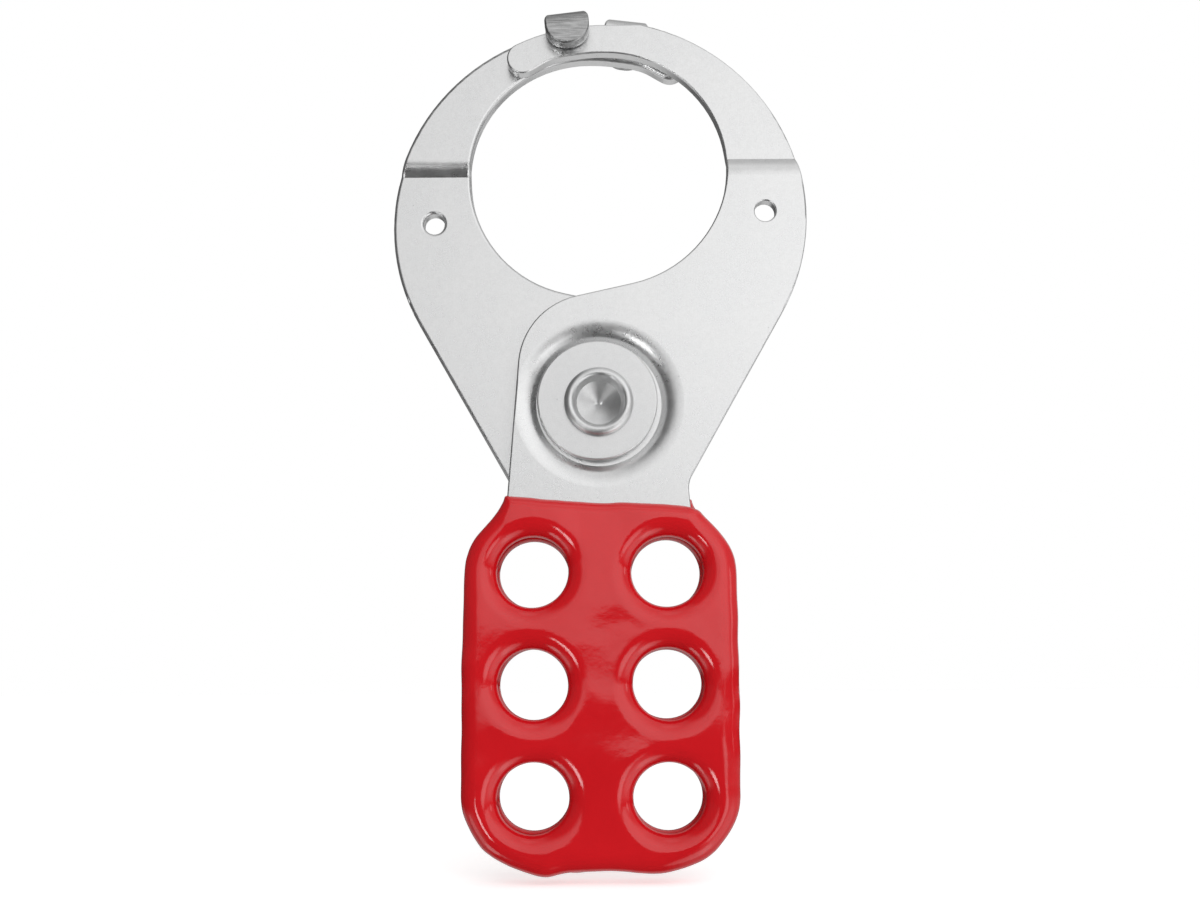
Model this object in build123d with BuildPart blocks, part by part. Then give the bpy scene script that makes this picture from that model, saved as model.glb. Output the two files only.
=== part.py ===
from build123d import *
import os
from math import atan2, acos, asin, cos, degrees, hypot, radians, sin, tan

# Lockout hasp: two identical bent steel jaws, one turned round on the other,
# riveted so that they open like scissors.  The lower half of each jaw is a
# handle with six padlock holes, dip-coated in soft vinyl.
#
# Frame: X across the jaws, Y through the thickness (front is -Y), Z up.
# The origin is the centre of the closed jaw opening, on the mid-plane
# between the two jaws.  Outlines are drawn in X and Z from the rivet axis.
# "Near" and "far" faces are nearer to and farther from the mid-plane.

os.makedirs("parts", exist_ok=True)

PIVOT_Z = -34.4            # rivet axis below the centre of the jaw opening
THROUGH = 10               # reach of a cut each way, past the whole thickness

# ------------------------------------------------------------ sheet and stack
SHEET = 2.0                # steel thickness
HALF_GAP = 1.20            # mid-plane to the near face of a flat body
ARM_GAP = 0.10             # mid-plane to the near face of an upper arm
DISH_GAP = 0.03            # mid-plane to the near face of a dish floor
COAT = 1.40                # vinyl thickness, outside and at the edges
COAT_IN = 1.05             # vinyl thickness between the two handles
RUN = 0.02                 # running clearance in the rivet stack

# Y of the faces of the front jaw
body_near = -HALF_GAP
body_far = body_near - SHEET
arm_near = -ARM_GAP
arm_far = arm_near - SHEET
dish_near = -DISH_GAP
dish_far = dish_near - SHEET
coat_near = body_near + COAT_IN
coat_far = body_far - COAT

# ---------------------------------------------------------------- jaw outline
OUTER_X, OUTER_Z, OUTER_R = 0.90, 27.32, 29.30     # outside of the hook
FULL_FROM, FULL_TO, FULL_EXTRA = 20.0, 77.5, 1.10  # fuller shoulder of the arm
HOOK_FROM = 91.5                                   # hook proper, past the tab
JAW_X, JAW_Z, JAW_R = 1.15, 34.68, 17.64           # inside of the hook
TIP_ANGLE, TIP_R = 115.9, 2.30                     # rounded end of the hook
UNDERSIDE = ((-7.00, 51.15), (-3.00, 52.02))       # hook, from tip to inside arc
BOSS_X, BOSS_Z, BOSS_R = -0.88, 5.20, 10.70        # round shoulder by the rivet
FLANK_SLOPE = 60.6                                 # straight flank, degrees
FLANK_FOOT_R = 4.0
NECK_LEFT_X, NECK_LEFT_Z = -13.14, -13.71
NECK_RIGHT_X = 12.65
NECK_LEFT_FLARE, NECK_RIGHT_FLARE = 0.10, 0.35     # widening down to the shoulder
TIE_HOLE_X, TIE_HOLE_Z, TIE_HOLE_R = 24.20, 27.95, 1.50

# joggle that brings the upper arm in to the mid-plane: each face is one arc
# that leaves the flat smoothly and ends at a crisp inside corner
JOGGLE_OUT_SOFT, JOGGLE_OUT_CRISP = 33.30, 36.10
JOGGLE_IN_CRISP, JOGGLE_IN_SOFT = 34.95, 37.40
JOGGLE_SHIFT = HALF_GAP - ARM_GAP

# strip of sheet the jaw is blanked from, larger than the outline
STRIP_BOTTOM, STRIP_TOP, STRIP_HALF = -75, 62, 34

# dish round the rivet
DISH_FLOOR_R, DISH_RIM_R = 9.00, 12.20             # one arc joins the two
DISH_PATCH_R = 13.6                                # sheet replaced by the dish
SHANK_HOLE_R = 4.02

# rolled edges
EDGE_ROLL = 0.25                                   # outer face
INNER_ROLL = 0.50                                  # face towards the other jaw

# --------------------------------------------------------------------- handle
HANDLE_HALF, HANDLE_BOTTOM = 18.22, -63.90
SHOULDER_TOP, SHOULDER_LOW = -15.50, -21.70
SHOULDER_TOP_R, SHOULDER_LOW_R = 1.6, 5.0
HANDLE_CORNER = 8.0
LOCK_PITCH_X, LOCK_PITCH_Z = 19.05, 15.875         # 3/4 in by 5/8 in
LOCK_TOP_Z = -24.25
LOCK_R = 5.00                                      # clear radius inside the coat

lock_holes = [
    (side * LOCK_PITCH_X / 2, LOCK_TOP_Z - row * LOCK_PITCH_Z)
    for side in (-1, 1)
    for row in (0, 1, 2)
]

# coat outline
COAT_TOP_LEFT = (-13.50, -13.60)
COAT_TOP_RIGHT = (13.75, -15.25)
COAT_NECK_X, COAT_NECK_Z, COAT_NECK_R = -14.35, -15.50, 2.5
COAT_SIDE_TOP = -21.20
COAT_EDGE = 2.00                                   # rounding of the coat outside
LOCK_LIP = 1.55                                    # rounding of the coat at a hole
# (x, z) along the uneven bottom edge, left to right
DRIPS = (
    (-13.2, -65.35), (-11.2, -66.00), (-7.6, -66.90), (-4.2, -66.30),
    (0.6, -66.15), (6.8, -66.60), (10.4, -66.05), (13.0, -65.35),
)

# -------------------------------------------------------------- interlock tab
# measured from the centre of the outer arc
TAB_LEAN = 6.85                                    # degrees from vertical
TAB_WIDTH, TAB_TOP_WIDTH = 6.50, 5.30
TAB_SHOULDER = 0.3                                 # widest place above the outer arc
TAB_SHOULDER_R, TAB_END_CORNER = 2.0, 2.9
TAB_CLEAR = 0.12                                   # web over the other arm's edge
TAB_TOP_MARGIN = 0.02                              # trim outline above the web
LIP_CLEAR = 0.30                                   # lip beyond the other arm's face
LIP_TILT = 3.0                                     # lip closes in towards its end
LIP_END_R = 25.60
LIP_NARROW = 0.15                                  # taper of each side of the lip
WEB = 1.45                                         # sheet thinned over the bend
BEND_IN = 0.80
TAB_ROLL = 0.30

# ----------------------------------------------------------- washer and rivet
WASHER_R, WASHER_HOLE_R, WASHER_T = 8.62, 4.52, 1.48
WASHER_OFF_X, WASHER_OFF_Z = -0.22, 0.28
WASHER_EDGE = 0.25
SHANK_R = 3.97
# (radius, Y from the foot of the rim) of the open front end of the rivet
CRATER = ((0, 1.95), (3.15, 0.45), (3.50, -0.55), (3.67, -0.90))
RIM = (CRATER[-1], (4.30, -1.12), (4.83, -0.72), (4.95, -0.35), (4.85, 0))
HEAD_R, HEAD_T = 8.00, 1.85
# (inset from HEAD_R, share of HEAD_T) from the head's side to its centre
HEAD_DOME = ((0, 0.45), (0.75, 0.82), (2.20, 0.98), (HEAD_R, 1))

# --------------------------------------------------------- planes and helpers
pivot_face = Plane((0, 0, PIVOT_Z), x_dir=(1, 0, 0), z_dir=(0, -1, 0))  # draws (X, Z)
pivot_side = Plane((0, 0, PIVOT_Z), x_dir=(0, 1, 0), z_dir=(1, 0, 0))   # draws (Y, Z)
pivot_turn = Plane((0, 0, PIVOT_Z), x_dir=(1, 0, 0), z_dir=(0, 0, 1))   # draws (radius, Y)
pivot_axis = Axis((0, 0, PIVOT_Z), (0, 1, 0))


def polar(centre_x, centre_z, radius, angle):
    """Point at a radius and an angle in degrees from a centre."""
    return (
        centre_x + radius * cos(radians(angle)),
        centre_z + radius * sin(radians(angle)),
    )


def sweep(run, rise):
    """Radius and turn of an arc that leaves a flat and climbs rise over run."""
    radius = (run * run + rise * rise) / (2 * rise)
    return radius, degrees(asin(run / radius))


def at_height(level):
    """Test for sketch vertices at a height on the sketch."""
    return lambda vertex: abs(vertex.Y - level) < 0.01


def at_point(x, y):
    """Test for sketch vertices at a point on the sketch."""
    return lambda vertex: abs(vertex.X - x) < 0.01 and abs(vertex.Y - y) < 0.01


def lies_flat(edge):
    """True of an edge in a plane parallel to the sheet."""
    return edge.bounding_box().size.Y < 0.01


def turned_round(part):
    """The same piece for the back jaw, half a turn about the Z axis."""
    with BuildPart() as turned:
        add(part.rotate(Axis.Z, 180))
    return turned.part


def save(part, name):
    part.label = name
    export_step(part, f"parts/{name}.step")


# -------------------------------------------------------- interlock tab piece
def build_interlock_tab():
    """Tab out of the arm's edge, back over the other arm and down behind it."""
    origin = (OUTER_X, 0, OUTER_Z + PIVOT_Z)
    along = (cos(radians(TAB_LEAN)), 0, -sin(radians(TAB_LEAN)))
    section_plane = Plane(origin, x_dir=(0, 1, 0), z_dir=along)
    face_plane = Plane(origin, x_dir=along, z_dir=(0, -1, 0))
    web_in = OUTER_R + TAB_CLEAR
    web_out = web_in + WEB
    lip_in = ARM_GAP + SHEET + LIP_CLEAR
    lip_out = lip_in + SHEET
    lean_in = (web_in - LIP_END_R) * tan(radians(LIP_TILT))
    lean_out = (web_out - LIP_END_R) * tan(radians(LIP_TILT))
    widest = OUTER_R + TAB_SHOULDER
    trim_top = web_out + TAB_TOP_MARGIN
    lean = Vector(*along)

    def is_free_edge(edge):
        """Edges of the free end and of the web, not the bend lines."""
        middle_run = edge.tangent_at(0.5)
        return (
            not (abs(middle_run.dot(lean)) > 0.98 and edge.length > 4)
            and not (abs(middle_run.Y) > 0.98 and edge.length > SHEET - 0.01)
            and edge.position_at(0.5).Y > arm_near - 0.01
        )

    with BuildPart() as tab:
        # bent section
        with BuildSketch(section_plane):
            with BuildLine():
                Polyline(
                    (arm_far, LIP_END_R),
                    (arm_far, web_out),
                    (lip_out + lean_out, web_out),
                    (lip_out, LIP_END_R),
                    (lip_in, LIP_END_R),
                    (lip_in + lean_in, web_in),
                    (arm_near, web_in),
                    (arm_near, LIP_END_R),
                    close=True,
                )
            make_face()
            fillet(vertices().filter_by(at_height(web_in)), BEND_IN)
            fillet(vertices().filter_by(at_height(web_out)), BEND_IN + WEB)
        extrude(amount=TAB_WIDTH, both=True)
        # trimmed to its outline seen from the front
        with BuildSketch(face_plane):
            with BuildLine():
                Polyline(
                    (-TAB_WIDTH / 2 + LIP_NARROW, LIP_END_R),
                    (-TAB_WIDTH / 2, widest),
                    (-TAB_TOP_WIDTH / 2, trim_top),
                    (TAB_TOP_WIDTH / 2, trim_top),
                    (TAB_WIDTH / 2, widest),
                    (TAB_WIDTH / 2 - LIP_NARROW, LIP_END_R),
                    close=True,
                )
            make_face()
            fillet(vertices().filter_by(at_height(LIP_END_R)), TAB_END_CORNER)
            fillet(vertices().filter_by(at_height(widest)), TAB_SHOULDER_R)
        extrude(amount=THROUGH, both=True, mode=Mode.INTERSECT)
        fillet(edges().filter_by(is_free_edge), TAB_ROLL)
    return tab.part


# ------------------------------------------------------------------ jaw plate
# straight flank, tangent to the outer arc
flank_normal = FLANK_SLOPE - 90
flank_top = polar(OUTER_X, OUTER_Z, OUTER_R, flank_normal)
flank_run = (flank_top[0] - NECK_RIGHT_X) / cos(radians(FLANK_SLOPE))
flank_foot = (NECK_RIGHT_X, flank_top[1] - flank_run * sin(radians(FLANK_SLOPE)))

# line that joins the boss to the inside of the hook, tangent to both
span = hypot(JAW_X - BOSS_X, JAW_Z - BOSS_Z)
bridge_angle = degrees(atan2(JAW_Z - BOSS_Z, JAW_X - BOSS_X)) + degrees(
    acos((BOSS_R + JAW_R) / span)
)
boss_top = polar(BOSS_X, BOSS_Z, BOSS_R, bridge_angle)
jaw_foot = polar(JAW_X, JAW_Z, JAW_R, bridge_angle + 180)

# left edge of the neck, tangent to the boss
reach = hypot(NECK_LEFT_X - BOSS_X, NECK_LEFT_Z - BOSS_Z)
to_neck = degrees(atan2(NECK_LEFT_Z - BOSS_Z, NECK_LEFT_X - BOSS_X)) % 360
neck_angle = to_neck - degrees(acos(BOSS_R / reach))
boss_side = polar(BOSS_X, BOSS_Z, BOSS_R, neck_angle)

# shoulder of the arm, a little fuller than the outer arc it grows from
full_centre = polar(OUTER_X, OUTER_Z, -FULL_EXTRA, FULL_FROM)
full_r = OUTER_R + FULL_EXTRA

# rounded end of the hook
tip_centre = polar(OUTER_X, OUTER_Z, OUTER_R - TIP_R, TIP_ANGLE)
tip_inner = polar(*tip_centre, TIP_R, TIP_ANGLE + 180)
tip_tangent = (sin(radians(TIP_ANGLE)), -cos(radians(TIP_ANGLE)))

# arcs of the joggle, and of the dish wall with its parallel back
out_r, out_turn = sweep(JOGGLE_OUT_CRISP - JOGGLE_OUT_SOFT, JOGGLE_SHIFT)
in_r, in_turn = sweep(JOGGLE_IN_SOFT - JOGGLE_IN_CRISP, JOGGLE_SHIFT)
dish_depth = dish_far - body_far
wall_r, wall_turn = sweep(DISH_RIM_R - DISH_FLOOR_R, dish_depth)
wall_centre = (DISH_RIM_R, body_far + wall_r)
back_r = wall_r - SHEET
back_turn = degrees(acos(1 - dish_depth / back_r))
back_floor_r = DISH_RIM_R - back_r * sin(radians(back_turn))


def mid_sheet(z):
    """Y of the middle of the sheet at a height above the rivet axis."""
    share = (z - JOGGLE_OUT_SOFT) / (JOGGLE_IN_SOFT - JOGGLE_OUT_SOFT)
    return body_near - SHEET / 2 + min(max(share, 0), 1) * JOGGLE_SHIFT


def blanked_edge(front):
    """Test for edges between a side wall and the front (or back) face."""

    def test(edge):
        run, middle = edge.tangent_at(0.5), edge.position_at(0.5)
        height = middle.Z - PIVOT_Z
        # not the edges through the sheet, nor those close to the rivet
        if abs(run.Y) > 0.999 or hypot(middle.X, height) < 12:
            return False
        # not the lines across the joggle
        if edge.geom_type == GeomType.LINE and abs(run.X) > 0.999 and height > 20:
            return False
        # not the circles of the dish
        if edge.geom_type == GeomType.CIRCLE and hypot(
            edge.arc_center.X, edge.arc_center.Z - PIVOT_Z
        ) < 0.01:
            return False
        return (middle.Y < mid_sheet(height)) == front

    return test


def build_jaw_plate(tab):
    """Front jaw: joggled sheet with a dish, blanked and pierced, and its tab."""
    with BuildPart() as plate:
        # sheet with its joggle, as a long strip
        with BuildSketch(pivot_side):
            with BuildLine():
                Line((body_far, STRIP_BOTTOM), (body_far, JOGGLE_OUT_SOFT))
                CenterArc((body_far + out_r, JOGGLE_OUT_SOFT), out_r, 180, -out_turn)
                Polyline(
                    (arm_far, JOGGLE_OUT_CRISP),
                    (arm_far, STRIP_TOP),
                    (arm_near, STRIP_TOP),
                    (arm_near, JOGGLE_IN_SOFT),
                )
                CenterArc((arm_near - in_r, JOGGLE_IN_SOFT), in_r, 0, -in_turn)
                Polyline(
                    (body_near, JOGGLE_IN_CRISP),
                    (body_near, STRIP_BOTTOM),
                    (body_far, STRIP_BOTTOM),
                )
            make_face()
        extrude(amount=STRIP_HALF, both=True)
        # room for the dish, cut 1 mm past both faces
        with BuildSketch(pivot_turn):
            with BuildLine():
                Polyline(
                    (0, body_far - 1),
                    (DISH_PATCH_R, body_far - 1),
                    (DISH_PATCH_R, body_near + 1),
                    (0, body_near + 1),
                    close=True,
                )
            make_face()
        revolve(axis=pivot_axis, mode=Mode.SUBTRACT)
        # drawn dish round the rivet
        with BuildSketch(pivot_turn):
            with BuildLine():
                Polyline(
                    (DISH_RIM_R, body_near),
                    (DISH_PATCH_R, body_near),
                    (DISH_PATCH_R, body_far),
                    (DISH_RIM_R, body_far),
                )
                CenterArc(wall_centre, wall_r, 270, -wall_turn)
                Polyline(
                    (DISH_FLOOR_R, dish_far),
                    (SHANK_HOLE_R, dish_far),
                    (SHANK_HOLE_R, dish_near),
                    (back_floor_r, dish_near),
                )
                CenterArc(wall_centre, back_r, 270, -back_turn)
            make_face()
        revolve(axis=pivot_axis)
        # blanked outline, anticlockwise from the top of the flank
        with BuildSketch(pivot_face):
            with BuildLine():
                CenterArc(
                    (OUTER_X, OUTER_Z), OUTER_R, flank_normal, FULL_FROM - flank_normal
                )
                CenterArc(full_centre, full_r, FULL_FROM, FULL_TO - FULL_FROM)
                Line(
                    polar(*full_centre, full_r, FULL_TO),
                    polar(OUTER_X, OUTER_Z, OUTER_R, HOOK_FROM),
                )
                CenterArc((OUTER_X, OUTER_Z), OUTER_R, HOOK_FROM, TIP_ANGLE - HOOK_FROM)
                CenterArc(tip_centre, TIP_R, TIP_ANGLE, 180)
                Spline(
                    tip_inner,
                    *UNDERSIDE,
                    (JAW_X, JAW_Z + JAW_R),
                    tangents=(tip_tangent, (1, 0)),
                )
                CenterArc((JAW_X, JAW_Z), JAW_R, 90, bridge_angle - 180 - 90)
                Line(jaw_foot, boss_top)
                CenterArc((BOSS_X, BOSS_Z), BOSS_R, bridge_angle, neck_angle - bridge_angle)
                Polyline(
                    boss_side,
                    (NECK_LEFT_X, NECK_LEFT_Z),
                    (NECK_LEFT_X - NECK_LEFT_FLARE, SHOULDER_TOP),
                    (-HANDLE_HALF, SHOULDER_LOW),
                    (-HANDLE_HALF, HANDLE_BOTTOM),
                    (HANDLE_HALF, HANDLE_BOTTOM),
                    (HANDLE_HALF, SHOULDER_LOW),
                    (NECK_RIGHT_X + NECK_RIGHT_FLARE, SHOULDER_TOP),
                    flank_foot,
                    flank_top,
                )
            make_face()
            for level, radius in (
                (HANDLE_BOTTOM, HANDLE_CORNER),
                (SHOULDER_LOW, SHOULDER_LOW_R),
                (SHOULDER_TOP, SHOULDER_TOP_R),
                (flank_foot[1], FLANK_FOOT_R),
            ):
                fillet(vertices().filter_by(at_height(level)), radius)
        extrude(amount=THROUGH, both=True, mode=Mode.INTERSECT)
        # padlock holes, with room for the coat, and the tie hole
        with BuildSketch(pivot_face):
            with Locations(*lock_holes):
                Circle(LOCK_R + COAT)
            with Locations((TIE_HOLE_X, TIE_HOLE_Z)):
                Circle(TIE_HOLE_R)
        extrude(amount=THROUGH, both=True, mode=Mode.SUBTRACT)
        # rolled edges left by blanking, on both faces
        fillet(edges().filter_by(blanked_edge(True)), EDGE_ROLL)
        fillet(edges().filter_by(blanked_edge(False)), INNER_ROLL)
        add(tab)
    return plate.part


# ------------------------------------------------------- vinyl handle coating
def build_handle_coating(plate):
    """Dip coat round the front handle, hollowed by the plate itself."""
    half = HANDLE_HALF + COAT
    bottom = HANDLE_BOTTOM - COAT
    with BuildPart() as coating:
        with BuildSketch(pivot_face.offset(-coat_near)):
            with BuildLine():
                Polyline(
                    (half, COAT_SIDE_TOP),
                    COAT_TOP_RIGHT,
                    COAT_TOP_LEFT,
                    (COAT_NECK_X, COAT_NECK_Z),
                    (-half, COAT_SIDE_TOP),
                    (-half, bottom),
                )
                Spline(
                    (-half, bottom),
                    *DRIPS,
                    (half, bottom),
                    tangents=((1, 0), (1, 0)),
                )
                Line((half, bottom), (half, COAT_SIDE_TOP))
            make_face()
            for side in (-1, 1):
                corner = at_point(side * half, bottom)
                fillet(vertices().filter_by(corner), HANDLE_CORNER + COAT)
            fillet(vertices().filter_by(at_height(COAT_SIDE_TOP)), SHOULDER_LOW_R + COAT)
            fillet(vertices().filter_by(at_height(COAT_NECK_Z)), COAT_NECK_R)
        extrude(amount=coat_near - coat_far)
        # the edges below the neck, front and back
        body_edges = edges().filter_by(
            lambda edge: lies_flat(edge) and edge.center().Z - PIVOT_Z < COAT_NECK_Z
        )
        fillet(body_edges, COAT_EDGE)
        # padlock holes with rounded lips
        with BuildSketch(pivot_face):
            with Locations(*lock_holes):
                Circle(LOCK_R)
        extrude(amount=THROUGH, both=True, mode=Mode.SUBTRACT)
        lips = edges().filter_by(GeomType.CIRCLE).filter_by(
            lambda edge: abs(edge.radius - LOCK_R) < 0.01 and lies_flat(edge)
        )
        fillet(lips, LOCK_LIP)
        add(plate, mode=Mode.SUBTRACT)
    return coating.part


# --------------------------------------------------------------- rivet washer
def build_rivet_washer():
    """Washer in front of the front dish, a little off the rivet axis."""
    with BuildPart() as washer:
        with BuildSketch(pivot_face.offset(-dish_far + RUN)):
            with Locations((WASHER_OFF_X, WASHER_OFF_Z)):
                Circle(WASHER_R)
                Circle(WASHER_HOLE_R, mode=Mode.SUBTRACT)
        extrude(amount=WASHER_T)
        front_rim = edges().group_by(Axis.Y)[0].filter_by(
            lambda edge: abs(edge.radius - WASHER_R) < 0.01
        )
        fillet(front_rim, WASHER_EDGE)
    return washer.part


# ---------------------------------------------------------------- pivot rivet
def build_pivot_rivet():
    """Rivet with a domed head at the back and a rolled, hollow front end."""
    rim_foot = dish_far - RUN - WASHER_T - RUN
    head_foot = -dish_far + RUN
    crater = [(radius, rim_foot + rise) for radius, rise in CRATER]
    rim = [(radius, rim_foot + rise) for radius, rise in RIM]
    dome = [(HEAD_R - inset, head_foot + HEAD_T * share) for inset, share in HEAD_DOME]
    with BuildPart() as rivet:
        with BuildSketch(pivot_turn):
            with BuildLine():
                Polyline(*crater)
                Spline(*rim, tangents=((0.55, -0.83), (-0.45, 0.89)))
                Polyline(
                    rim[-1],
                    (SHANK_R, rim_foot),
                    (SHANK_R, head_foot),
                    (HEAD_R, head_foot),
                    dome[0],
                )
                Spline(*dome, tangents=((0, 1), (-1, 0)))
                Line(dome[-1], crater[0])
            make_face()
        revolve(axis=pivot_axis)
    return rivet.part


# --------------------------------------------------------------------- pieces
interlock_tab = build_interlock_tab()
front_plate = build_jaw_plate(interlock_tab)
front_coating = build_handle_coating(front_plate)

save(front_plate, "front_jaw_plate")
save(turned_round(front_plate), "back_jaw_plate")
save(front_coating, "front_handle_coating")
save(turned_round(front_coating), "back_handle_coating")
save(build_rivet_washer(), "rivet_washer")
save(build_pivot_rivet(), "pivot_rivet")
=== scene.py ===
import math

import bpy
import numpy as np
from mathutils import Matrix, Vector


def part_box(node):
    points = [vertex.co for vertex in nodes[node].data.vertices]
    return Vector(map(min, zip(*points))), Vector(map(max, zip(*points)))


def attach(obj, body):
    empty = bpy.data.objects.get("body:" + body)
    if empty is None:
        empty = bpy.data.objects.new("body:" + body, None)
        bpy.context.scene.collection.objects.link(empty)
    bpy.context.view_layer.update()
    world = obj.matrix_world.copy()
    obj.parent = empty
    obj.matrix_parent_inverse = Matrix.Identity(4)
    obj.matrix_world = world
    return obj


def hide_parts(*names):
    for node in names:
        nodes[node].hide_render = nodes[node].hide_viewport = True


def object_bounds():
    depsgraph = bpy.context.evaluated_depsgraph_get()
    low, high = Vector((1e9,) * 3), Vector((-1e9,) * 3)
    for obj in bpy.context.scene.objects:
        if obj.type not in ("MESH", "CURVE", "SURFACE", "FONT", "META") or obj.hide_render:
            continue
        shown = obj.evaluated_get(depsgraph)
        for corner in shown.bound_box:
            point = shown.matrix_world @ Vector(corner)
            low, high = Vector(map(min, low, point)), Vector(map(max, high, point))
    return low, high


# Lockout hasp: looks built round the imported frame.  Lengths below are in
# millimetres until they reach Blender, where they become metres.

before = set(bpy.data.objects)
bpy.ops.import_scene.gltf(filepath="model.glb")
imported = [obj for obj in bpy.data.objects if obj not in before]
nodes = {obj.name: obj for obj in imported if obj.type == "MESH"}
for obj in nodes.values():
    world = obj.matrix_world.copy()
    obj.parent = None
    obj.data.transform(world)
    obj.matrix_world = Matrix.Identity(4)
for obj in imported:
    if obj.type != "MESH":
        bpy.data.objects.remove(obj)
cad_low, cad_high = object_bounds()
scene = bpy.context.scene
MM = 0.001

# ------------------------------------------------------------------ constants
rivet_low, rivet_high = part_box("pivot_rivet")
PIVOT_X = (rivet_low.x + rivet_high.x) / 2 / MM
PIVOT_Z = (rivet_low.z + rivet_high.z) / 2 / MM
coat_low, coat_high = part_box("front_handle_coating")
COAT_MID = (coat_low.y + coat_high.y) / 2 / MM          # depth of the front coat's middle
COAT_HALF = (coat_high.y - coat_low.y) / 2 / MM         # half its thickness

LOCK_PITCH_X, LOCK_PITCH_Z, LOCK_TOP_Z, LOCK_R = 19.05, 15.875, -24.25, 5.0
ROUND = 3.0                                             # depth of the coat's rounding
STEP = 0.34                                             # grid of the coat's skin

# outline of a coat seen from its outer side, (x, z) from the rivet axis
LEFT_SIDE = (
    (-13.30, -11.0), (-13.42, -12.8), (-13.62, -13.9), (-14.02, -14.76), (-14.55, -15.62),
    (-15.22, -16.47), (-16.00, -17.32), (-16.78, -18.17), (-17.49, -19.03), (-18.01, -19.88),
    (-18.43, -20.73), (-18.75, -21.59), (-19.02, -22.44), (-19.16, -23.29), (-19.24, -24.15),
    (-19.31, -25.85), (-19.38, -28.4), (-19.44, -31.2), (-19.53, -36.0), (-19.59, -41.0),
    (-19.63, -45.0), (-19.66, -50.0), (-19.66, -54.5), (-19.61, -56.16), (-19.33, -57.83),
    (-18.74, -59.49), (-17.95, -61.15), (-16.80, -62.75), (-15.77, -63.65), (-14.63, -64.48),
    (-13.09, -65.32), (-11.90, -65.80), (-10.80, -66.16),
)
RIGHT_SIDE = (
    (9.60, -66.26), (11.06, -65.94), (12.48, -65.44), (14.20, -64.65), (15.39, -63.82),
    (16.30, -63.0), (17.61, -61.35), (18.52, -59.70), (19.16, -58.04), (19.46, -56.38),
    (19.51, -54.6), (19.54, -51.0), (19.55, -46.0), (19.56, -41.0), (19.54, -36.2),
    (19.50, -32.0), (19.46, -28.6), (19.41, -26.0), (19.36, -24.4), (19.30, -23.5),
    (19.18, -22.66), (18.94, -21.8), (18.57, -20.95), (18.07, -20.09), (17.47, -19.23),
    (16.79, -18.37), (15.99, -17.51), (15.12, -16.62), (14.45, -15.80), (13.95, -14.95),
    (13.62, -14.0), (13.42, -12.8), (13.30, -11.0),
)
DRIP_EDGE = (
    (-10.80, -66.16), (-9.96, -66.42), (-9.12, -66.67), (-8.29, -66.85), (-7.45, -66.91),
    (-6.62, -66.76), (-5.78, -66.55), (-4.94, -66.36), (-3.80, -66.23), (-1.45, -66.15),
    (1.05, -66.12), (2.72, -66.13), (3.80, -66.20), (5.00, -66.38), (6.05, -66.49),
    (6.89, -66.53), (7.72, -66.49), (8.60, -66.41), (9.60, -66.26),
)
TOP_EDGE = (
    (-19.0, -12.60), (-14.2, -13.10), (-13.04, -13.28), (-11.33, -13.42), (-9.63, -13.55),
    (-7.93, -13.78), (-6.23, -13.88), (-4.52, -14.05), (-2.82, -14.15), (-1.12, -14.29),
    (0.20, -14.36), (1.44, -14.37), (2.70, -14.27), (3.99, -14.30), (5.69, -14.40),
    (7.39, -14.48), (9.10, -14.56), (10.80, -14.72), (12.10, -14.86), (13.20, -15.10),
    (14.2, -15.50), (19.0, -16.60),
)


# --------------------------------------------------------------------- shapes
def catmull(points, per=6):
    """A smooth open curve through the points."""
    p = np.array(points, float)
    p = np.vstack([2 * p[0] - p[1], p, 2 * p[-1] - p[-2]])
    out = []
    for i in range(1, len(p) - 2):
        for t in np.linspace(0, 1, per, endpoint=False):
            a, b, c, d = p[i - 1], p[i], p[i + 1], p[i + 2]
            out.append(
                0.5
                * (
                    2 * b
                    + (c - a) * t
                    + (2 * a - 5 * b + 4 * c - d) * t * t
                    + (3 * b - a - 3 * c + d) * t ** 3
                )
            )
    out.append(p[-2])
    return np.array(out)


def polygon_depth(q, poly):
    """Signed distance into a closed polygon, positive inside."""
    a = poly
    b = np.roll(poly, -1, axis=0)
    ab = b - a
    length = np.maximum((ab ** 2).sum(1), 1e-12)
    out = np.empty(len(q))
    for s in range(0, len(q), 8000):
        p = q[s : s + 8000]
        ap = p[:, None, :] - a[None]
        t = np.clip((ap * ab[None]).sum(2) / length[None], 0, 1)
        d = np.sqrt(((ap - t[..., None] * ab[None]) ** 2).sum(2).min(1))
        up = (a[None, :, 1] > p[:, 1:2]) != (b[None, :, 1] > p[:, 1:2])
        rise = np.where(np.abs(ab[:, 1]) < 1e-12, 1e-12, ab[:, 1])
        cut = a[None, :, 0] + (p[:, 1:2] - a[None, :, 1]) * ab[None, :, 0] / rise[None]
        inside = ((up & (p[:, 0:1] < cut)).sum(1) % 2) == 1
        out[s : s + 8000] = np.where(inside, d, -d)
    return out


def soft_min(a, b, k):
    h = np.clip(0.5 + 0.5 * (b - a) / k, 0, 1)
    return b * (1 - h) + a * h - k * h * (1 - h)


class Ripple:
    """Slow, seeded unevenness over the handle."""

    def __init__(self, seed, waves, shortest, longest):
        rng = np.random.RandomState(seed)
        turn = rng.uniform(0, 2 * np.pi, waves)
        size = np.exp(rng.uniform(np.log(shortest), np.log(longest), waves))
        self.kx, self.kz = np.cos(turn) * 2 * np.pi / size, np.sin(turn) * 2 * np.pi / size
        self.phase = rng.uniform(0, 2 * np.pi, waves)
        self.gain = size / size.max()
        self.gain /= np.sqrt((self.gain ** 2).sum() / 2)

    def __call__(self, x, z):
        out = np.zeros_like(x)
        for kx, kz, p, g in zip(self.kx, self.kz, self.phase, self.gain):
            out += g * np.sin(kx * x + kz * z + p)
        return out


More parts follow.
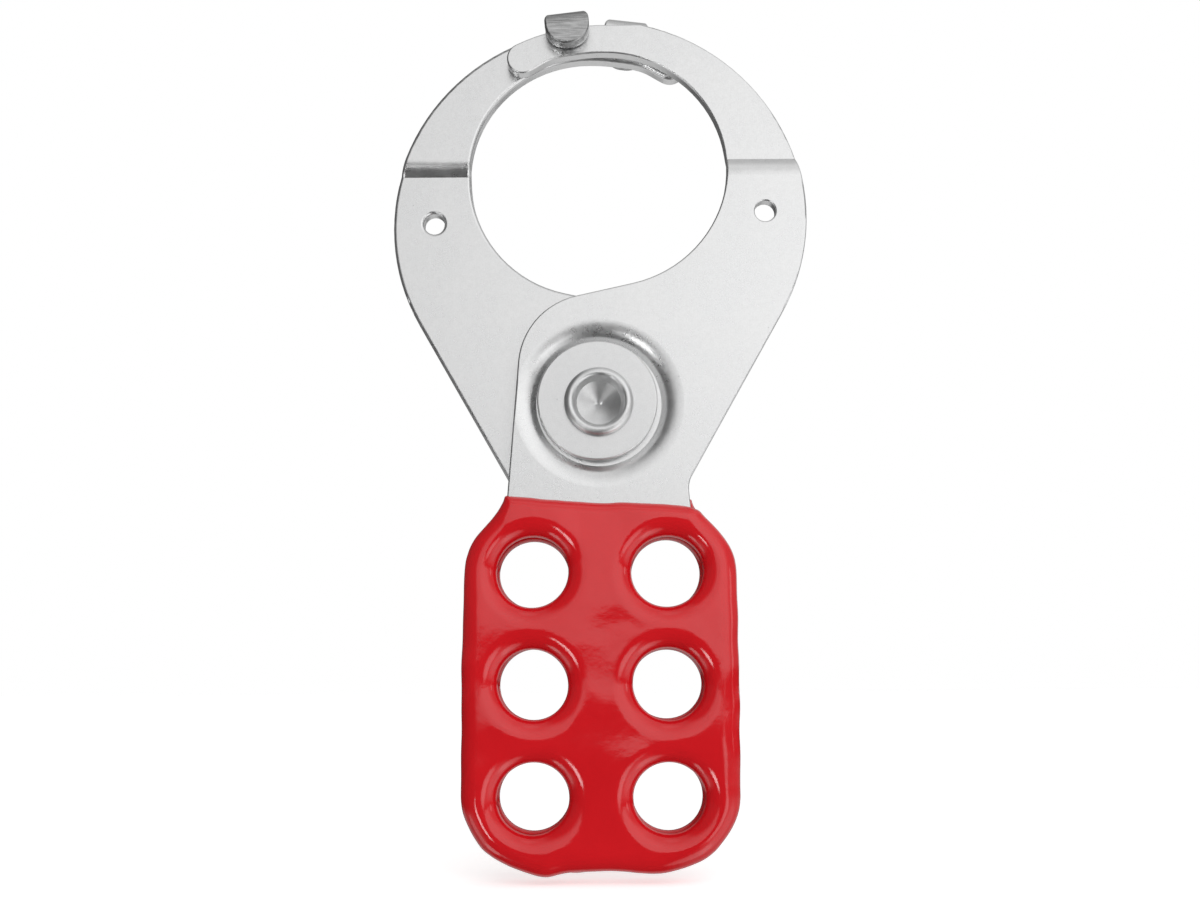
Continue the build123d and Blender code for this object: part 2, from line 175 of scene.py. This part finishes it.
class Coat:
    """The skin of a dipped handle as the zero level of a smooth field."""

    def __init__(self, seed, drip, top):
        left, right = catmull(LEFT_SIDE, 3), catmull(RIGHT_SIDE, 3)
        low = catmull(drip, 4)
        self.outline = np.vstack([left[:-1], low[:-1], right])
        self.top = catmull(top)
        self.sag = Ripple(seed, 9, 7.0, 26.0)
        self.wave = Ripple(seed + 50, 7, 4.0, 12.0)
        self.holes = [
            (side * LOCK_PITCH_X / 2, LOCK_TOP_Z - row * LOCK_PITCH_Z)
            for side in (-1, 1)
            for row in (0, 1, 2)
        ]
        rng = np.random.RandomState(seed + 7)
        self.hole_r = LOCK_R + rng.uniform(-0.06, 0.05, 6)
        self.hole_oval = rng.uniform(0, np.pi, 6)
        self.sample()

    def sample(self):
        """The depth on a fine plane grid, for quick smooth look-ups."""
        self.x0, self.z0, self.cell = -21.6, -68.9, 0.15
        gx = np.arange(self.x0, 21.7, self.cell)
        gz = np.arange(self.z0, -11.4, self.cell)
        xx, zz = np.meshgrid(gx, gz, indexing="ij")
        self.grid = self.exact(xx.ravel(), zz.ravel()).reshape(xx.shape)

    def depth(self, x, z):
        """Bicubic look-up of the depth."""
        fx, fz = (x - self.x0) / self.cell, (z - self.z0) / self.cell
        ix = np.clip(np.floor(fx).astype(int), 1, self.grid.shape[0] - 3)
        iz = np.clip(np.floor(fz).astype(int), 1, self.grid.shape[1] - 3)
        tx, tz = fx - ix, fz - iz

        def weights(t):
            return (
                -0.5 * t + t * t - 0.5 * t ** 3,
                1 - 2.5 * t * t + 1.5 * t ** 3,
                0.5 * t + 2 * t * t - 1.5 * t ** 3,
                -0.5 * t * t + 0.5 * t ** 3,
            )

        out = 0
        for i, a in enumerate(weights(tx)):
            for j, b in enumerate(weights(tz)):
                out = out + a * b * self.grid[ix + i - 1, iz + j - 1]
        return out

    def exact(self, x, z):
        w = polygon_depth(np.c_[x, z], self.outline)
        w = w + 0.035 * self.wave(x, z)
        # the coat thins towards the neck, so it rounds over in less depth
        near = np.clip((z + 18.5) / 4.0, 0, 1)
        w = w * (1 + 0.8 * near * near * (3 - 2 * near))
        top = (np.interp(x, self.top[:, 0], self.top[:, 1]) - z) * 0.999
        w = soft_min(w, top * ROUND / 1.75, 0.55)
        for (hx, hz), r, turn in zip(self.holes, self.hole_r, self.hole_oval):
            dx, dz = x - hx, z - hz
            a = np.arctan2(dz, dx)
            d = np.hypot(dx, dz) - r * (1 + 0.012 * np.cos(2 * (a - turn)))
            w = soft_min(w, d, 1.1)
        return w

    def field(self, p):
        x, y, z = p[:, 0], p[:, 1], p[:, 2]
        w = self.depth(x, z)
        u = np.maximum(ROUND - w, 0) / ROUND
        half = COAT_HALF - 0.06 + 0.05 * self.sag(x, z).clip(-1.4, 1.2)
        return np.sqrt(u ** 2.15 + np.abs(y / half) ** 2.15) - 1


def surface_nets(values, origin, step):
    """A quad mesh of the zero level of a grid of values (negative inside)."""
    inside = values < 0
    corners = [(i, j, k) for i in (0, 1) for j in (0, 1) for k in (0, 1)]
    shape = tuple(n - 1 for n in values.shape)

    def at(array, c):
        return array[c[0] : c[0] + shape[0], c[1] : c[1] + shape[1], c[2] : c[2] + shape[2]]

    count = sum(at(inside, c).astype(np.int8) for c in corners)
    active = (count > 0) & (count < 8)
    cells = np.argwhere(active)
    index = -np.ones(shape, int)
    index[active] = np.arange(len(cells))
    total, hits = np.zeros((len(cells), 3)), np.zeros(len(cells))
    for a in corners:
        for axis in range(3):
            if a[axis]:
                continue
            b = list(a)
            b[axis] = 1
            va, vb = at(values, a)[active], at(values, b)[active]
            cut = (va < 0) != (vb < 0)
            t = np.where(cut, va / np.where(va == vb, 1, va - vb), 0)
            point = np.tile(np.array(a, float), (len(cells), 1))
            point[:, axis] += t
            total[cut] += point[cut]
            hits[cut] += 1
    verts = (cells + total / hits[:, None]) * step + origin
    faces = []
    for axis in range(3):
        u, v = (axis + 1) % 3, (axis + 2) % 3
        low = [slice(None)] * 3
        high = [slice(None)] * 3
        low[axis], high[axis] = slice(0, -1), slice(1, None)
        a, b = inside[tuple(low)], inside[tuple(high)]
        spots = np.argwhere(a != b)
        keep = (spots[:, u] > 0) & (spots[:, v] > 0) & (spots[:, u] < shape[u]) & (spots[:, v] < shape[v])
        spots = spots[keep]
        quad = []
        for du, dv in ((-1, -1), (0, -1), (0, 0), (-1, 0)):
            s = spots.copy()
            s[:, u] += du
            s[:, v] += dv
            quad.append(index[s[:, 0], s[:, 1], s[:, 2]])
        quad = np.array(quad).T
        out = a[spots[:, 0], spots[:, 1], spots[:, 2]]
        faces.append(np.where(out[:, None], quad, quad[:, ::-1]))
    return verts, np.vstack(faces)


def coat_mesh(name, seed, drip, top, back):
    coat = Coat(seed, drip, top)
    low = np.array([-21.2, -COAT_HALF - 0.6, -68.6])
    high = np.array([21.2, COAT_HALF + 0.6, -12.0])
    size = np.ceil((high - low) / STEP).astype(int) + 1
    gx, gy, gz = (low[i] + STEP * np.arange(size[i]) for i in range(3))
    xx, zz = np.meshgrid(gx, gz, indexing="ij")
    w = coat.depth(xx.ravel(), zz.ravel()).reshape(xx.shape)
    half = COAT_HALF - 0.06 + 0.05 * coat.sag(xx, zz).clip(-1.4, 1.2)
    u = np.maximum(ROUND - w, 0) / ROUND
    values = (
        np.sqrt(u[:, None, :] ** 2.15 + np.abs(gy[None, :, None] / half[:, None, :]) ** 2.15) - 1
    )
    verts, faces = surface_nets(values, low, STEP)
    # settle every vertex on the exact surface
    for _ in range(3):
        e = 0.01
        f = coat.field(verts)
        grad = np.stack(
            [(coat.field(verts + e * np.eye(3)[i]) - f) / e for i in range(3)], 1
        )
        move = -(f / np.maximum((grad ** 2).sum(1), 1e-6))[:, None] * grad
        far = np.linalg.norm(move, axis=1)
        verts = verts + move * np.minimum(1, 0.25 / np.maximum(far, 1e-9))[:, None]
    verts[:, 1] += COAT_MID
    if back:
        verts[:, 0] *= -1
        verts[:, 1] *= -1
    verts = (verts + [PIVOT_X, 0, PIVOT_Z]) * MM
    mesh = bpy.data.meshes.new(name)
    mesh.from_pydata(verts.tolist(), [], faces.tolist())
    mesh.validate()
    mesh.shade_smooth()
    obj = bpy.data.objects.new(name, mesh)
    scene.collection.objects.link(obj)
    return obj


# ------------------------------------------------------------------ materials
class Nodes:
    """Small helper that adds shader nodes and links them."""

    def __init__(self, name):
        self.mat = bpy.data.materials.new(name)
        self.mat.use_nodes = True
        self.tree = self.mat.node_tree
        self.tree.nodes.clear()
        self.out = self.add("ShaderNodeOutputMaterial")
        self.surface = self.add("ShaderNodeBsdfPrincipled")
        self.link(self.surface.outputs[0], self.out.inputs["Surface"])
        self.place = self.add("ShaderNodeTexCoord").outputs["Object"]

    def add(self, kind, **values):
        node = self.tree.nodes.new(kind)
        for key, value in values.items():
            if hasattr(node, key):
                setattr(node, key, value)
            else:
                node.inputs[key.replace("_", " ")].default_value = value
        return node

    def link(self, a, b):
        self.tree.links.new(a, b)

    def value(self, name, x):
        self.surface.inputs[name].default_value = x

    def stretched(self, scale, rotation=(0, 0, 0)):
        m = self.add("ShaderNodeMapping")
        m.inputs["Scale"].default_value = scale
        m.inputs["Rotation"].default_value = rotation
        self.link(self.place, m.inputs["Vector"])
        return m.outputs[0]

    def noise(self, scale, detail=4.0, rough=0.5, vector=None, distortion=0.0):
        n = self.add("ShaderNodeTexNoise")
        n.inputs["Scale"].default_value = scale
        n.inputs["Detail"].default_value = detail
        n.inputs["Roughness"].default_value = rough
        n.inputs["Distortion"].default_value = distortion
        self.link(vector or self.place, n.inputs["Vector"])
        return n.outputs["Fac"]

    def ramp(self, fac, stops, smooth=True):
        r = self.add("ShaderNodeValToRGB")
        ramp = r.color_ramp
        ramp.interpolation = "EASE" if smooth else "LINEAR"
        while len(ramp.elements) < len(stops):
            ramp.elements.new(0.5)
        for element, (at, colour) in zip(ramp.elements, stops):
            element.position = at
            c = colour if isinstance(colour, tuple) else (colour,) * 3
            element.color = (*c, 1)
        self.link(fac, r.inputs[0])
        return r.outputs["Color"]

    def math(self, kind, a, b=None, c=None):
        m = self.add("ShaderNodeMath", operation=kind)
        for socket, x in zip(m.inputs, (a, b, c)):
            if x is None:
                continue
            if isinstance(x, (int, float)):
                socket.default_value = x
            else:
                self.link(x, socket)
        return m.outputs[0]

    def mix(self, fac, a, b, blend="MIX"):
        m = self.add("ShaderNodeMix", data_type="RGBA", blend_type=blend)
        for name, x in (("Factor_Float", fac), ("A_Color", a), ("B_Color", b)):
            socket = next(s for s in m.inputs if s.identifier == name)
            if isinstance(x, (int, float)):
                socket.default_value = x
            elif isinstance(x, tuple):
                socket.default_value = (*x, 1)
            else:
                self.link(x, socket)
        return next(s for s in m.outputs if s.identifier == "Result_Color")

    def bump(self, height, distance, strength=1.0, after=None):
        b = self.add("ShaderNodeBump")
        b.inputs["Distance"].default_value = distance
        b.inputs["Strength"].default_value = strength
        self.link(height, b.inputs["Height"])
        if after is not None:
            self.link(after, b.inputs["Normal"])
        return b.outputs[0]


def zinc_steel(name, seed, turned=False):
    m = Nodes(name)
    place = m.add("ShaderNodeMapping")
    place.inputs["Location"].default_value = (0.013 * seed, 0.0, 0.021 * seed)
    m.link(m.place, place.inputs["Vector"])
    m.place = place.outputs[0]
    cloud = m.noise(160, 3.0, 0.55)
    mottle = m.noise(900, 4.0, 0.6)
    grain = m.noise(6500, 2.0, 0.6)
    up = m.noise(1.0, 3.0, 0.6, m.stretched((9000, 1500, 420)))
    along = m.noise(1.0, 3.0, 0.6, m.stretched((500, 1500, 9000)))
    # colour: bluish white zinc, slightly cloudy
    base = m.ramp(cloud, [(0.30, (0.775, 0.778, 0.78)), (0.70, (0.815, 0.816, 0.816))])
    base = m.mix(0.12, base, m.ramp(mottle, [(0.35, 0.55), (0.65, 0.95)]), "MULTIPLY")
    base = m.mix(0.13, base, m.ramp(grain, [(0.30, 0.45), (0.70, 1.0)]), "MULTIPLY")
    # small dark specks left in the plating
    speck = m.add("ShaderNodeTexVoronoi")
    speck.inputs["Scale"].default_value = 520
    m.link(m.place, speck.inputs["Vector"])
    dots = m.ramp(speck.outputs["Distance"], [(0.035, 1.0), (0.075, 0.0)])
    picked = m.math("GREATER_THAN", m.noise(260, 1.0), 0.60)
    dots = m.math("MULTIPLY", dots, picked)
    base = m.mix(m.math("MULTIPLY", dots, 0.35), base, (0.30, 0.30, 0.31))
    if not turned:
        # the lips of the tabs carry painted shade, standing in for the dimmer reflection of the tilted
        # lip, and are streaked where the die drew them
        place_xyz = m.add("ShaderNodeSeparateXYZ")
        m.link(m.tree.nodes["Texture Coordinate"].outputs["Object"], place_xyz.inputs[0])
        deep = m.add("ShaderNodeMapRange")
        deep.interpolation_type = "SMOOTHSTEP"
        deep.inputs["From Min"].default_value = 2.6 * MM
        deep.inputs["From Max"].default_value = 3.6 * MM
        m.link(m.math("ABSOLUTE", place_xyz.outputs[1]), deep.inputs["Value"])
        painted_shade_lip = m.math("MULTIPLY", deep.outputs[0], m.math("GREATER_THAN", place_xyz.outputs[2], 17.6 * MM))
        drawn = m.noise(1.0, 3.0, 0.6, m.stretched((350, 900, 4200)))
        # painted shade with streaks: the ramp roughly halves the zinc's brightness on the lips
        lip_shade_and_streaks = m.ramp(drawn, [(0.30, 0.36), (0.70, 0.66)])
        base = m.mix(painted_shade_lip, base, m.mix(1.0, base, lip_shade_and_streaks, "MULTIPLY"))
    m.link(base, m.surface.inputs["Base Color"])
    m.value("Metallic", 1.0)
    rough = m.math("MULTIPLY_ADD", mottle, 0.14, 0.17 if not turned else 0.24)
    rough = m.math("MULTIPLY_ADD", cloud, 0.10, rough)
    m.link(rough, m.surface.inputs["Roughness"])
    normal = m.bump(up, 0.00002, 0.30)
    normal = m.bump(along, 0.00002, 0.18, normal)
    normal = m.bump(grain, 0.00002, 0.14, normal)
    normal = m.bump(mottle, 0.00006, 0.14, normal)
    if turned:
        # fine turning marks round the rivet axis
        split = m.add("ShaderNodeSeparateXYZ")
        shift = m.add("ShaderNodeMapping")
        shift.inputs["Location"].default_value = (-PIVOT_X * MM, 0, -PIVOT_Z * MM)
        m.link(m.tree.nodes["Texture Coordinate"].outputs["Object"], shift.inputs["Vector"])
        m.link(shift.outputs[0], split.inputs[0])
        r = m.math(
            "SQRT",
            m.math(
                "ADD",
                m.math("MULTIPLY", split.outputs[0], split.outputs[0]),
                m.math("MULTIPLY", split.outputs[2], split.outputs[2]),
            ),
        )
        join = m.add("ShaderNodeCombineXYZ")
        m.link(r, join.inputs[0])
        ring = m.noise(9000, 3.0, 0.6, join.outputs[0])
        normal = m.bump(ring, 0.00002, 0.35, normal)
    m.link(normal, m.surface.inputs["Normal"])
    return m.mat


def red_vinyl(name, seed):
    m = Nodes(name)
    place = m.add("ShaderNodeMapping")
    place.inputs["Location"].default_value = (0.017 * seed, 0.0, 0.011 * seed)
    m.link(m.place, place.inputs["Vector"])
    m.place = place.outputs[0]
    slow = m.noise(70, 2.0, 0.5)
    cloud = m.noise(420, 3.0, 0.5)
    fine = m.noise(5200, 2.0, 0.5)
    base = m.ramp(slow, [(0.30, (0.66, 0.0075, 0.0125)), (0.70, (0.70, 0.0095, 0.0150))])
    base = m.mix(0.12, base, m.ramp(cloud, [(0.3, 0.80), (0.7, 1.0)]), "MULTIPLY")
    base = m.mix(0.08, base, m.ramp(fine, [(0.3, 0.70), (0.7, 1.0)]), "MULTIPLY")
    m.link(base, m.surface.inputs["Base Color"])
    rough = m.math("MULTIPLY_ADD", cloud, 0.04, 0.045)
    rough = m.math("MULTIPLY_ADD", fine, 0.03, rough)
    m.link(rough, m.surface.inputs["Roughness"])
    m.value("IOR", 1.58)
    m.value("Specular IOR Level", 0.5)
    m.value("Subsurface Weight", 0.0)
    # orange peel and slow flow marks
    normal = m.bump(slow, 0.0006, 0.10)
    normal = m.bump(cloud, 0.00008, 0.30, normal)
    normal = m.bump(fine, 0.00001, 0.35, normal)
    m.link(normal, m.surface.inputs["Normal"])
    return m.mat


def assign(obj, mat):
    obj.data.materials.clear()
    obj.data.materials.append(mat)
    for face in obj.data.polygons:
        face.material_index = 0


# --------------------------------------------------------------------- pieces
front_coat = coat_mesh("front_vinyl_grip", 3, DRIP_EDGE, TOP_EDGE, False)
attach(front_coat, "front_jaw")
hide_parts("front_handle_coating")

BACK_DRIP = (
    (-11.00, -66.25), (-9.40, -66.52), (-7.20, -66.60), (-4.80, -66.42), (-2.60, -66.30),
    (0.20, -66.45), (2.20, -66.90), (4.00, -67.00), (5.80, -66.70), (7.80, -66.45),
    (9.60, -66.35), (11.00, -66.02),
)
BACK_TOP = tuple((x, z + 0.12 * math.sin(x * 0.9)) for x, z in TOP_EDGE)
back_coat = coat_mesh("back_vinyl_grip", 11, BACK_DRIP, BACK_TOP, True)
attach(back_coat, "back_jaw")
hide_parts("back_handle_coating")

assign(front_coat, red_vinyl("vinyl_front", 1))
assign(back_coat, red_vinyl("vinyl_back", 4))
assign(nodes["front_jaw_plate"], zinc_steel("zinc_front", 1))
assign(nodes["back_jaw_plate"], zinc_steel("zinc_back", 5))
assign(nodes["rivet_washer"], zinc_steel("zinc_washer", 9, turned=True))
assign(nodes["pivot_rivet"], zinc_steel("zinc_rivet", 12, turned=True))

# ---------------------------------------------------------------------- stage
floor_z = cad_low.z - 0.0012
bpy.ops.mesh.primitive_plane_add(size=1)
floor = bpy.context.object
floor.name = "floor"
floor.location = (0, 0.6, floor_z)
floor.scale = (6, 6, 1)
pale = Nodes("pale_floor")
pale.value("Base Color", (0.90, 0.90, 0.895, 1))
pale.value("Roughness", 0.75)
pale.value("Emission Color", (1, 1, 1, 1))
pale.value("Emission Strength", 0.60)
assign(floor, pale.mat)
# the floor is seen and takes shadow, but doesn't colour the object
floor.visible_glossy = floor.visible_diffuse = floor.visible_shadow = False

# ---------------------------------------------------------------------- world
world = bpy.data.worlds.new("studio")
scene.world = world
world.use_nodes = True
wt = world.node_tree
wt.nodes.clear()
w_out = wt.nodes.new("ShaderNodeOutputWorld")
w_back = wt.nodes.new("ShaderNodeBackground")
w_white = wt.nodes.new("ShaderNodeBackground")
w_mix = wt.nodes.new("ShaderNodeMixShader")
w_path = wt.nodes.new("ShaderNodeLightPath")
w_white.inputs["Color"].default_value = (1, 1, 1, 1)
w_white.inputs["Strength"].default_value = 1.0
coord = wt.nodes.new("ShaderNodeTexCoord")
split = wt.nodes.new("ShaderNodeSeparateXYZ")
wt.links.new(coord.outputs["Generated"], split.inputs[0])


def w_math(kind, a, b=None, c=None, clamp=False):
    m = wt.nodes.new("ShaderNodeMath")
    m.operation = kind
    m.use_clamp = clamp
    for socket, x in zip(m.inputs, (a, b, c)):
        if x is None:
            continue
        if isinstance(x, (int, float)):
            socket.default_value = x
        else:
            wt.links.new(x, socket)
    return m.outputs[0]


def w_range(value, a, b, lo, hi):
    m = wt.nodes.new("ShaderNodeMapRange")
    m.interpolation_type = "SMOOTHSTEP"
    m.inputs["From Min"].default_value = a
    m.inputs["From Max"].default_value = b
    m.inputs["To Min"].default_value = lo
    m.inputs["To Max"].default_value = hi
    wt.links.new(value, m.inputs["Value"])
    return m.outputs[0]


def w_blob(azimuth, elevation, inner, outer, gain):
    """A soft round patch of light seen in one direction, sizes in degrees."""
    az, el = math.radians(azimuth), math.radians(elevation)
    dot = wt.nodes.new("ShaderNodeVectorMath")
    dot.operation = "DOT_PRODUCT"
    dot.inputs[1].default_value = (
        math.sin(az) * math.cos(el),
        -math.cos(az) * math.cos(el),
        math.sin(el),
    )
    wt.links.new(coord.outputs["Generated"], dot.inputs[0])
    return w_range(
        dot.outputs["Value"], math.cos(math.radians(outer)), math.cos(math.radians(inner)), 0.0, gain
    )


height = split.outputs[2]
front = w_math("MULTIPLY", split.outputs[1], -1.0)
side = split.outputs[0]
width = w_math("ABSOLUTE", side)
# a broad card in front, with a sharp lower edge at eye level; dim overhead
card = w_math(
    "ADD",
    w_range(height, -0.004, 0.020, 0.0, 1.0),
    w_range(height, 0.30, 1.0, 0.0, -0.52),
)
# brighter to the right, falling off to both sides and behind
across = w_math("ADD", w_range(side, -0.16, 0.20, -0.10, 0.22), 1.0)
across = w_math("ADD", across, w_range(side, 0.60, 0.88, 0.0, -0.86))
across = w_math("ADD", across, w_range(side, -0.26, -0.52, 0.0, -0.84))
level = w_math("MULTIPLY", w_math("MAXIMUM", card, 0.0), across)
level = w_math("MULTIPLY", level, w_range(front, 0.05, -0.35, 1.0, 0.60))
# below eye level it is dark straight ahead and grey further round
low = w_math(
    "MULTIPLY", w_range(side, 0.20, 0.42, 0.0, 0.50), w_range(height, -0.02, -0.14, 0.0, 1.0)
)
low_left = w_math(
    "MULTIPLY", w_range(side, -0.50, -0.66, 0.0, 0.34), w_range(height, -0.24, -0.40, 0.0, 1.0)
)
low_back = w_math(
    "MULTIPLY", w_range(front, -0.10, -0.40, 0.0, 0.62), w_range(height, -0.16, -0.32, 0.0, 1.0)
)
below = w_math("MAXIMUM", w_math("MAXIMUM", low, low_left), low_back)
level = w_math("ADD", w_math("ADD", level, below), 0.07)
# dark straight behind, so that edges read as thin dark lines
level = w_math("ADD", level, w_blob(180, 10, 15, 27, -0.62))
level = w_math("MAXIMUM", level, 0.04)
for blob in (
    (-21, -15, 4, 7, 6.5),
    (23, -12, 7, 12, 1.3),
    (-54, -47, 6, 11, 1.9),
    (-66, -32, 7, 12, 0.9),
    (58, -32, 14, 28, 0.55),
    (40, -50, 10, 18, 0.8),
    (64, 4, 3, 7, 1.2),
    (0, 62, 6, 13, 0.35),
):
    level = w_math("ADD", level, w_blob(*blob))
wt.links.new(level, w_back.inputs["Strength"])
w_back.inputs["Color"].default_value = (1, 1, 1, 1)
wt.links.new(w_path.outputs["Is Camera Ray"], w_mix.inputs[0])
wt.links.new(w_back.outputs[0], w_mix.inputs[1])
wt.links.new(w_white.outputs[0], w_mix.inputs[2])
wt.links.new(w_mix.outputs[0], w_out.inputs["Surface"])


# --------------------------------------------------------------------- lights
def softbox(name, at, aim, width, height_, watts):
    light = bpy.data.lights.new(name, "AREA")
    light.shape = "RECTANGLE"
    light.size, light.size_y = width, height_
    light.energy = watts
    obj = bpy.data.objects.new(name, light)
    scene.collection.objects.link(obj)
    obj.location = at
    obj.rotation_euler = (Vector(aim) - Vector(at)).to_track_quat("-Z", "Y").to_euler()
    obj.visible_glossy = False
    return obj


middle = (0, 0, PIVOT_Z * MM)
softbox("fill_front", (0.05, -0.55, 0.25), middle, 0.5, 0.4, 1.2)

# --------------------------------------------------------------------- camera
camera_data = bpy.data.cameras.new("camera")
camera = bpy.data.objects.new("camera", camera_data)
scene.collection.objects.link(camera)
scene.camera = camera
CAM_BACK, CAM_Z, TILT, FOCAL_PX, CENTRE_V, ROLL = 0.181, -0.0744, 4.344, 1263.1, 587.5, 0.35
camera.location = (PIVOT_X * MM, -CAM_BACK, CAM_Z)
camera.matrix_world = (
    Matrix.Translation(camera.location)
    @ Matrix.Rotation(math.radians(90 + TILT), 4, "X")
    @ Matrix.Rotation(math.radians(-ROLL), 4, "Z")
)
camera_data.sensor_width = 36
camera_data.lens = 36 * FOCAL_PX / 1200
camera_data.clip_start, camera_data.clip_end = 0.005, 20
# the picture is framed off the lens axis, only from this standpoint
shift = (CENTRE_V - 451) / 1200
driver = camera_data.driver_add("shift_y").driver
driver.type = "SCRIPTED"
for axis in ("x", "y", "z"):
    v = driver.variables.new()
    v.name = axis
    v.type = "TRANSFORMS"
    v.targets[0].id = camera
    v.targets[0].transform_type = "LOC_" + axis.upper()
    v.targets[0].transform_space = "WORLD_SPACE"
driver.expression = (
    f"{shift:.6f} if fabs(x - ({camera.location.x:.6f})) + fabs(y - ({camera.location.y:.6f}))"
    f" + fabs(z - ({camera.location.z:.6f})) < 0.0001 else 0.0"
)

scene.view_settings.view_transform = "Standard"
scene.view_settings.look = "None"
scene.view_settings.exposure = 0.0
scene.view_settings.gamma = 1.0
